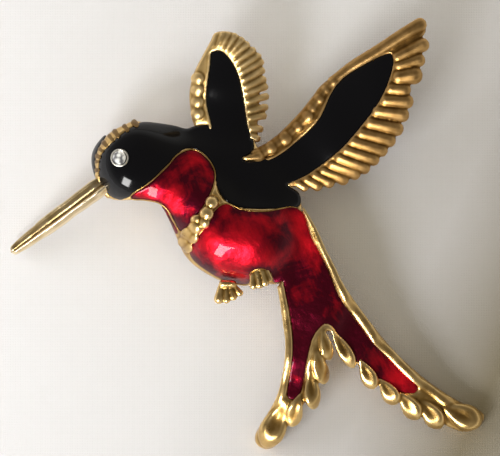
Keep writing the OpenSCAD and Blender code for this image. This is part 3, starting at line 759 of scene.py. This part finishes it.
# The far wing is cast the same way, and is smaller and steeper. Four beads sit on its
# leading band, and a fringe of close ribs runs round the rest of its edge.
FAR_PLAN = (THROAT + BODY_LONG * np.array([15, 34.8]) / 100, 14.0, 14.0)
FAR_SET, FAR_LIFT = 1.2, 3.0
FAR_OUTLINE = [
    (-36, 5.5), (-39.5, 20.5), (-40.5, 38.5), (-36, 57.5), (-27, 75.5), (-19, 90),
    (-15.5, 97), (-6, 99), (4, 97), (15, 90), (22, 78), (25, 66), (28, 50),
    (29, 30.5), (28, 10.5), (24.5, -13), (0, -20), (-24, -12),
]
FAR_FIELD = [
    (-19.5, 2), (-25, 27.5), (-24.2, 45.5), (-21.5, 64.5), (-20.5, 76.5), (-16, 80.5),
    (-6.5, 79.5), (3.5, 68.5), (10.5, 52.5), (14.8, 32.5), (18, 9.5), (20, -10),
    (0, -30), (-17, -18),
]
FAR_CHAIN = stations(
    [(-2, -8, 42, 0, 150, 2), (-6, 28, 46, 35, 100, 2), (-4, 60, 40, 70, 100, 2),
     (2, 85, 32, 100, 90, 2)],
    FAR_PLAN, BACK_Z + FAR_SET, FAR_LIFT, WING_THICK,
)
FAR_ROOTS = [(-12, 84), (-3, 79), (5, 72), (11, 60), (15.5, 46), (18.5, 30), (20.5, 12), (22, -6)]
FAR_TIPS = [(-5, 99), (8, 96.5), (22, 85.5), (33, 73), (36, 56), (39.5, 37), (37.5, 15), (31, -10)]
FAR_RIBS = 16
FAR_RIB_ROOT_R, FAR_RIB_TIP_R = 0.4, 0.55
FAR_BEADS = [(-32.8, 51.5), (-33, 40), (-33, 28), (-33, 16.5)]
FAR_BEAD_R = 0.92

gold_worn = gold("worn_gold", 0.32, (0.5, 0.32, 0.11), (0.9, 0.66, 0.32))
far_line = flowing(FAR_OUTLINE, FAR_PLAN)
far_field_line = flowing(FAR_FIELD, FAR_PLAN)
far_ground = ground_over([FAR_CHAIN])

far = wing_plate(far_line, far_field_line, far_ground, FAR_CHAIN)
relief = bmesh.new()
roots = flowing(FAR_ROOTS, FAR_PLAN, closed=False)
tips = flowing(FAR_TIPS, FAR_PLAN, closed=False)
for at in np.linspace(0, len(roots) - 1, FAR_RIBS).astype(int):
    way = (tips[at] - roots[at]) / np.hypot(*(tips[at] - roots[at]))
    rib = [roots[at], tips[at] - way * FAR_RIB_TIP_R]
    bar(relief, rib, FAR_RIB_ROOT_R, FAR_RIB_TIP_R, squash=0.85, lift=0.05)
for spot in spots(FAR_BEADS, FAR_PLAN):
    bead(relief, spot, FAR_BEAD_R, squash=0.65, lift=0.15)
far_band = spots(FAR_BEADS, FAR_PLAN)
far_wall = far_field_line[: 11 * CURVE_STEPS]
bar(relief, far_band, start_r=0.64, end_r=0.7, squash=0.68, lift=0.1)
bar(relief, far_wall, start_r=0.24, end_r=0.24, squash=0.6, lift=0.04)
lay(relief, far_ground)
add(far, relief)
far = fused(far)
mark_hollows(far)
finished("far_wing", far, gold_worn, "metal_casting")

# The forked tail is cast with the body, and falls from its back to the cloth. It has
# rounded rims outside, and leaf-shaped lobes along the inner edges of both forks.
TAIL_PLAN = (THROAT + BODY_LONG * np.array([42.5, 0]) / 100, 28.0, -35.0)
TAIL_THICK = 5.0
TAIL_OUTLINE = [
    (2, 4), (9.6, 5), (15.8, 14.8), (22, 22.8), (28.8, 34.2), (34.4, 40.2),
    (42.6, 48.8), (55.5, 61), (71.2, 72.2), (87, 80.6), (98, 84.6), (100, 87.4), (96.5, 91.6),
    (88, 92.8), (76, 88.5), (65, 84.5), (54, 78.5), (44, 72), (34, 64), (26, 55.5),
    (21, 52.5), (18.5, 58), (17, 66), (13.5, 76), (8.5, 83), (3, 88), (-1, 94.5),
    (-5, 98.8), (-9.5, 100), (-14, 98.2), (-15.2, 95), (-13, 91.2), (-8.2, 87.4),
    (-4, 82), (-1.8, 75.4), (0.3, 60), (-1.6, 43.4), (-3, 36), (-2, 20),
]
TAIL_FIELD = [
    (6.8, 4), (13.2, 15.2), (20.2, 25.8), (27, 38.4), (38, 50.8), (50.2, 61.8),
    (62.5, 71.4), (66.3, 75), (63.5, 77.5), (52.5, 75.4), (42.8, 69.6), (32.7, 61.4),
    (25.5, 52.4), (22, 49.8), (18.5, 50), (14, 54.5), (11.6, 61), (10, 69),
    (7.5, 77.4), (4.5, 79.6), (1.2, 78.4), (2.2, 71), (3.6, 62), (3.8, 53),
    (2, 43.4), (0, 36), (-2, 28), (-6, 15),
]
STEM = [(0, 10, 22, 100, 104, 6), (13, 34, 25, 84, 100, 8)]
RIGHT_FORK = [(13, 34, 25, 84, 100, 8), (32, 53, 19, 55, 82, 8), (55, 70, 17, 28, 66, 6),
              (75, 81, 15, 10, 54, 4), (91, 87.5, 13, 0, 44, 2)]
LEFT_FORK = [(13, 34, 25, 84, 100, 8), (7, 56, 19, 74, 96, 8), (6, 74, 17, 50, 83, 6),
             (-3, 89, 15, 20, 64, 4), (-10, 96, 11, 0, 48, 2)]
TAIL_CHAINS = [
    stations(rows, TAIL_PLAN, 0, BACK_Z, TAIL_THICK) for rows in (STEM, RIGHT_FORK, LEFT_FORK)
]
# Columns: base right, base down, tip right, tip down, width.
LOBES = [
    (22.8, 51, 34.8, 67.4, 2.1), (37, 63.2, 45, 75.8, 2.4), (46.8, 71, 56.2, 82, 2.5),
    (56.6, 76.6, 67.4, 88, 2.7), (67.2, 79.2, 78.6, 91.6, 2.9), (78, 82, 98.6, 90, 3.7),
    (18.2, 50.2, 22.4, 64.4, 1.8), (15, 58.6, 20, 74, 2.3), (12.4, 66.6, 14.4, 84.2, 2.4),
    (7.4, 77, 2.8, 91, 2.5), (1, 79, -10.4, 99.4, 3.8),
]
# The three rims, each with the radii of its two ends.
TAIL_RIMS = [
    (0.24, 0.78, [(8.9, 3.2), (14.7, 11.6), (19.3, 20.3), (23.4, 27.1), (27.3, 34),
                  (31.6, 39.6), (35.7, 44.5), (42, 51.6)]),
    (0.74, 0.58, [(42, 51.6), (46.9, 57), (53.3, 62), (60.1, 67.7), (66.7, 72.5),
                  (73.9, 76.6), (80.8, 81), (87.7, 83.6), (94.2, 85.6)]),
    (0.52, 0.62, [(-2.2, 35), (-0.8, 41.4), (0.6, 49.2), (1.9, 57), (1.5, 64.1), (0.1, 71.2),
                  (-1.7, 77.6), (-5.4, 84), (-11, 91.4)]),
]

tail_line = flowing(TAIL_OUTLINE, TAIL_PLAN)
tail_field_line = flowing(TAIL_FIELD, TAIL_PLAN)
tail_ground = ground_over(TAIL_CHAINS)


def tail_foot(points):
    """The underside of whichever fork lies over a point."""
    return np.where(
        dome_height(TAIL_CHAINS[1], points) > dome_height(TAIL_CHAINS[2], points),
        foot_height(TAIL_CHAINS[1], points),
        foot_height(TAIL_CHAINS[2], points),
    )


def leaf(bm, base, tip, wide):
    """A drop-shaped lobe, pointed at its base, hollow along its middle and full at its tip."""
    swell, blunt, plump, hollow = 1.6, 0.6, 0.62, 0.38
    way = tip - base
    side = np.array((-way[1], way[0])) / np.hypot(*way)
    verts = bmesh.ops.create_grid(bm, x_segments=28, y_segments=20, size=0.5)["verts"]
    for vert in verts:
        run, turn = vert.co.x + 0.5, 2 * math.pi * (vert.co.y + 0.5)
        half = wide / 2 * max(0, math.sin(math.pi * run**swell)) ** blunt
        middle = base + way * run + side * half * math.cos(turn)
        rise = plump * half * math.sin(turn) + 0.12 + 0.2 * run
        if math.sin(turn) > 0:
            dish = math.sin(turn) ** 6 * math.sin(math.pi * min(1, run / 0.9))
            rise -= hollow * half * dish
        vert.co = (*middle, rise)
    bmesh.ops.remove_doubles(bm, verts=verts, dist=0.001)


tail = slab([tail_line], 0.2)
tail_cells = [tail_field_line, belly_line, back_line]
drape(tail, metal_top(tail_ground, tail_line, tail_cells, crown=0.35, round_w=0.7), tail_foot)
relief = bmesh.new()
for start_r, end_r, rim in TAIL_RIMS:
    bar(relief, flowing(rim, TAIL_PLAN, closed=False), start_r, end_r, squash=0.5, lift=0.16)
for row in LOBES:
    base, tip = spots([row[:2], row[2:4]], TAIL_PLAN)
    leaf(relief, base, tip, row[4])
lay(relief, tail_ground)
add(tail, relief)
tail = fused(tail, smoothing=3)
mark_hollows(tail)
finished("tail_casting", tail, gold_rubbed, "metal_casting")

# Glossy black enamel fills one cell over the head, the back and both wings. It is
# poured a little proud and drawn down at its edges.
black_finish, black_shader = blank(
    "black_enamel", Base_Color=(0.003, 0.003, 0.004, 1), Roughness=0.1, Specular_IOR_Level=0.26
)
grained(black_finish, black_shader, scale=260, strength=0.1, deep=0.1)


def enamel(lines, ground, depth_and_light_spots=(), depth=0.45, draw=0.28, draw_w=0.5):
    """A skin of enamel over the forms, drawn down where it meets its walls."""
    bm = slab(lines, VOXEL)
    xyz = plan_of(bm)
    inside = depth_inside(lines, xyz[:, :2])
    share = np.clip((inside + 0.05) / draw_w, 0, 1)
    top = ground(xyz[:, :2]) - draw * (1 - share) ** 2
    set_heights(bm, top - depth * (1 - np.clip(xyz[:, 2] / SLAB, 0, 1)))
    layer = bm.verts.layers.float.new("inside")
    depth_and_light_layer = bm.verts.layers.float.new("depth_and_light")
    # Painted light and shade, partly the enamel's depth: spots that brighten or darken the red.
    depth_and_light = np.zeros(len(xyz))
    for right, up, radius, strength in depth_and_light_spots:
        off = (xyz[:, :2] - spots([(right, up)], BODY_PLAN)) / (radius * BODY_LONG / 100)
        depth_and_light += strength * np.exp(-(off**2).sum(axis=1))
    for vert, far, light in zip(bm.verts, inside, depth_and_light):
        vert[layer], vert[depth_and_light_layer] = far, light
    return bm


black_ground = ground_over([*BODY_CHAINS, NEAR_CHAIN, FAR_CHAIN], 1.1)
black = enamel([back_line, near_field_line, far_field_line], black_ground)
finished("black_fill", black, black_finish, "black_enamel")

far_head = enamel([far_head_line], body_ground)
finished("far_head_fill", far_head, black_finish, "far_head_enamel")

# Clear red enamel over the throat, the belly and the tail. The metal under it was hammered and
# brushed.
# Its colour is painted brighter and darker in spots: partly the enamel's depth, partly painted
# light and shade.
red_finish, red_shader = blank(
    "red_enamel", Metallic=0.7, Specular_IOR_Level=0.0, Coat_Weight=0.8, Coat_Roughness=0.03,
    Coat_IOR=1.28
)
nodes, links = red_finish.node_tree.nodes, red_finish.node_tree.links
red_place = step(nodes, "TexCoord")
red_cloud = step(nodes, "TexNoise", Scale=190, Detail=6, Roughness=0.62, Distortion=0.8)
red_inside = step(nodes, "Attribute")
red_inside.attribute_name = "inside"
# Painted shade, partly deeper enamel: the red is darker towards its walls.
red_edge_shade = step(nodes, "MapRange", From_Max=1.1, To_Min=-0.16, To_Max=0.02)
red_depth_and_light = step(nodes, "Attribute")
red_depth_and_light.attribute_name = "depth_and_light"
red_brushed = step(
    nodes, "Mapping", Rotation=(0, 0, math.radians(-65)), Scale=(3 * MM, 0.45 * MM, 3 * MM)
)
red_brushed.vector_type = "TEXTURE"
red_streak = step(nodes, "TexNoise", Scale=1, Detail=2)
red_sum = step(nodes, "Math")
red_sum_depth_and_light = step(nodes, "Math")
red_sum_streak = step(nodes, "Math")
red_sum_streak.operation = "MULTIPLY_ADD"
red_sum_streak.inputs[1].default_value = 0.16
red_tone = tones(nodes, (0.44, (0.075, 0.002, 0.01)), (0.86, (0.8, 0.009, 0.022)))
red_crumple = step(nodes, "TexNoise", Scale=420, Detail=4)
red_bump = step(nodes, "Bump", Strength=0.8, Distance=0.3 * MM)
red_rough = step(nodes, "MapRange", To_Min=0.2, To_Max=0.5)
red_wave = step(nodes, "TexNoise", Scale=330)
red_coat = step(nodes, "Bump", Strength=0.18, Distance=0.12 * MM)
for pattern in (red_cloud, red_crumple, red_wave, red_brushed):
    links.new(red_place.outputs["Object"], pattern.inputs["Vector"])
links.new(red_inside.outputs["Fac"], red_edge_shade.inputs["Value"])
links.new(red_cloud.outputs["Fac"], red_sum.inputs[0])
links.new(red_edge_shade.outputs["Result"], red_sum.inputs[1])
links.new(red_sum.outputs[0], red_sum_depth_and_light.inputs[0])
links.new(red_depth_and_light.outputs["Fac"], red_sum_depth_and_light.inputs[1])
links.new(red_brushed.outputs["Vector"], red_streak.inputs["Vector"])
links.new(red_streak.outputs["Fac"], red_sum_streak.inputs[0])
links.new(red_sum_depth_and_light.outputs[0], red_sum_streak.inputs[2])
links.new(red_sum_streak.outputs[0], red_tone.inputs["Fac"])
links.new(red_tone.outputs["Color"], red_shader.inputs["Base Color"])
links.new(red_crumple.outputs["Fac"], red_bump.inputs["Height"])
links.new(red_bump.outputs["Normal"], red_shader.inputs["Normal"])
links.new(red_crumple.outputs["Fac"], red_rough.inputs["Value"])
links.new(red_rough.outputs["Result"], red_shader.inputs["Roughness"])
links.new(red_wave.outputs["Fac"], red_coat.inputs["Height"])
links.new(red_coat.outputs["Normal"], red_shader.inputs["Coat Normal"])

# Painted light and shade on the red, partly also its depth: spots where its colour is brighter or
# darker. Columns: right, up, radius, strength.
THROAT_DEPTH_AND_LIGHT = [
    (-26, 3, 5, 0.1), (-16, -1, 5, 0.16), (-12, -6, 4, 0.1), (-4, 12, 9, -0.04),
    (1, -1, 7, -0.16), (-8, -13, 6, -0.14), (0, 22, 5, 0.1),
]
BELLY_DEPTH_AND_LIGHT = [
    (3, -20, 8, 0.12), (17, -27, 9, 0.06), (20, -12, 9, 0.03), (8, -12, 5, -0.16),
    (34, -30, 5, 0.1), (40, -20, 8, -0.16), (2, -33, 8, -0.12), (34, -38, 5, -0.12),
    (52, -11, 6, 0.42), (56, -22, 6, 0.44), (46, -42, 9, -0.14), (60, -40, 8, -0.16),
    (52, -46, 7, -0.03), (56, -55, 13, -0.14), (50, -78, 16, -0.08), (48, -62, 9, -0.1),
    (78, -68, 12, -0.22), (96, -80, 6, 0.06), (101, -91, 7, 0.28), (46, -96, 8, -0.1),
]
red_ground = ground_over([*BODY_CHAINS, *TAIL_CHAINS], 0.9)
throat = enamel([throat_line], body_ground, THROAT_DEPTH_AND_LIGHT)
finished("throat_fill", throat, red_finish, "throat_enamel")
throat_edge = enamel([throat_edge_line], body_ground)
finished("throat_edge_fill", throat_edge, red_finish, "throat_enamel")
belly = enamel([belly_line, tail_field_line], red_ground, BELLY_DEPTH_AND_LIGHT, draw=0.04, draw_w=0.3)
finished("belly_tail_fill", belly, red_finish, "belly_tail_enamel")

# The eye is a clear cut stone, foiled below and held in a small bright cup. The cup is
# a ring of plated metal on the head, and the stone has a table and two rows of facets.
EYE = spots([(-40, 21)], BODY_PLAN)[0]
EYE_R = 1.0
CUP_R = 1.28
CUP_RISE = 0.35
GIRDLE_DOWN = 0.4
GIRDLE_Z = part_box("eye_stone")[1][2] / MM - GIRDLE_DOWN

silver_finish, silver_shader = blank(
    "bright_silver", Base_Color=(0.88, 0.85, 0.78, 1), Metallic=1.0, Roughness=0.3
)
grained(silver_finish, silver_shader, scale=2600, strength=0.2, deep=0.04)
cup = bmesh.new()
for vert in bmesh.ops.create_grid(cup, x_segments=48, y_segments=12, size=0.5)["verts"]:
    turn, round_turn = 2 * math.pi * (vert.co.x + 0.5), 2 * math.pi * (vert.co.y + 0.5)
    radius = (EYE_R + CUP_R) / 2 + (CUP_R - EYE_R) / 2 * math.cos(round_turn)
    spot = EYE + radius * np.array((math.cos(turn), math.sin(turn)))
    seat = max(GIRDLE_Z - 0.2, body_ground(spot[None])[0] - 0.1)
    vert.co = (*spot, seat + CUP_RISE * math.sin(round_turn))
bmesh.ops.remove_doubles(cup, verts=cup.verts, dist=0.001)
finished("eye_cup", cup, silver_finish, "metal_casting")

# Columns: radius as a share of the stone's, height over its girdle, corners, turn.
STONE_STEPS = [(1.02, 0, 16, 0), (0.78, 0.24, 8, 0), (0.52, 0.38, 8, 22.5), (0.05, -0.6, 8, 0)]
stone_finish, stone_shader = blank(
    "clear_stone", Metallic=0.1, Roughness=0.12, IOR=1.6, Coat_Weight=1.0, Coat_Roughness=0.01
)
nodes, links = stone_finish.node_tree.nodes, stone_finish.node_tree.links
stone_place = step(nodes, "TexCoord")
# Painted reflections: the stone's colour is patched white and dark grey, as flashes from its foil
# and facets.
stone_flash = step(nodes, "TexVoronoi", Scale=1300)
stone_painted_flashes = tones(nodes, (0.4, (1.0, 1.0, 1.0)), (0.65, (0.15, 0.15, 0.16)))
links.new(stone_place.outputs["Object"], stone_flash.inputs["Vector"])
links.new(stone_flash.outputs["Distance"], stone_painted_flashes.inputs["Fac"])
links.new(stone_painted_flashes.outputs["Color"], stone_shader.inputs["Base Color"])
stone = bmesh.new()
for share, rise, corners, twist in STONE_STEPS:
    for k in range(corners):
        turn = math.radians(360 * k / corners + twist)
        spot = EYE + EYE_R * share * np.array((math.cos(turn), math.sin(turn)))
        stone.verts.new((*spot, GIRDLE_Z + rise))
bmesh.ops.convex_hull(stone, input=stone.verts)
finished("cut_stone", stone, stone_finish, "eye_stone", smooth=False)

# The pin and its catch are plain plated steel, soldered against the flat back. The
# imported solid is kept, and gets a brushed finish.
steel_finish, steel_shader = blank(
    "plated_steel", Base_Color=(0.62, 0.55, 0.42, 1), Metallic=1.0, Roughness=0.32
)
grained(steel_finish, steel_shader, scale=1800, strength=0.2, deep=0.03)
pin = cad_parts["pin_back"]
pin.data.materials.clear()
pin.data.materials.append(steel_finish)
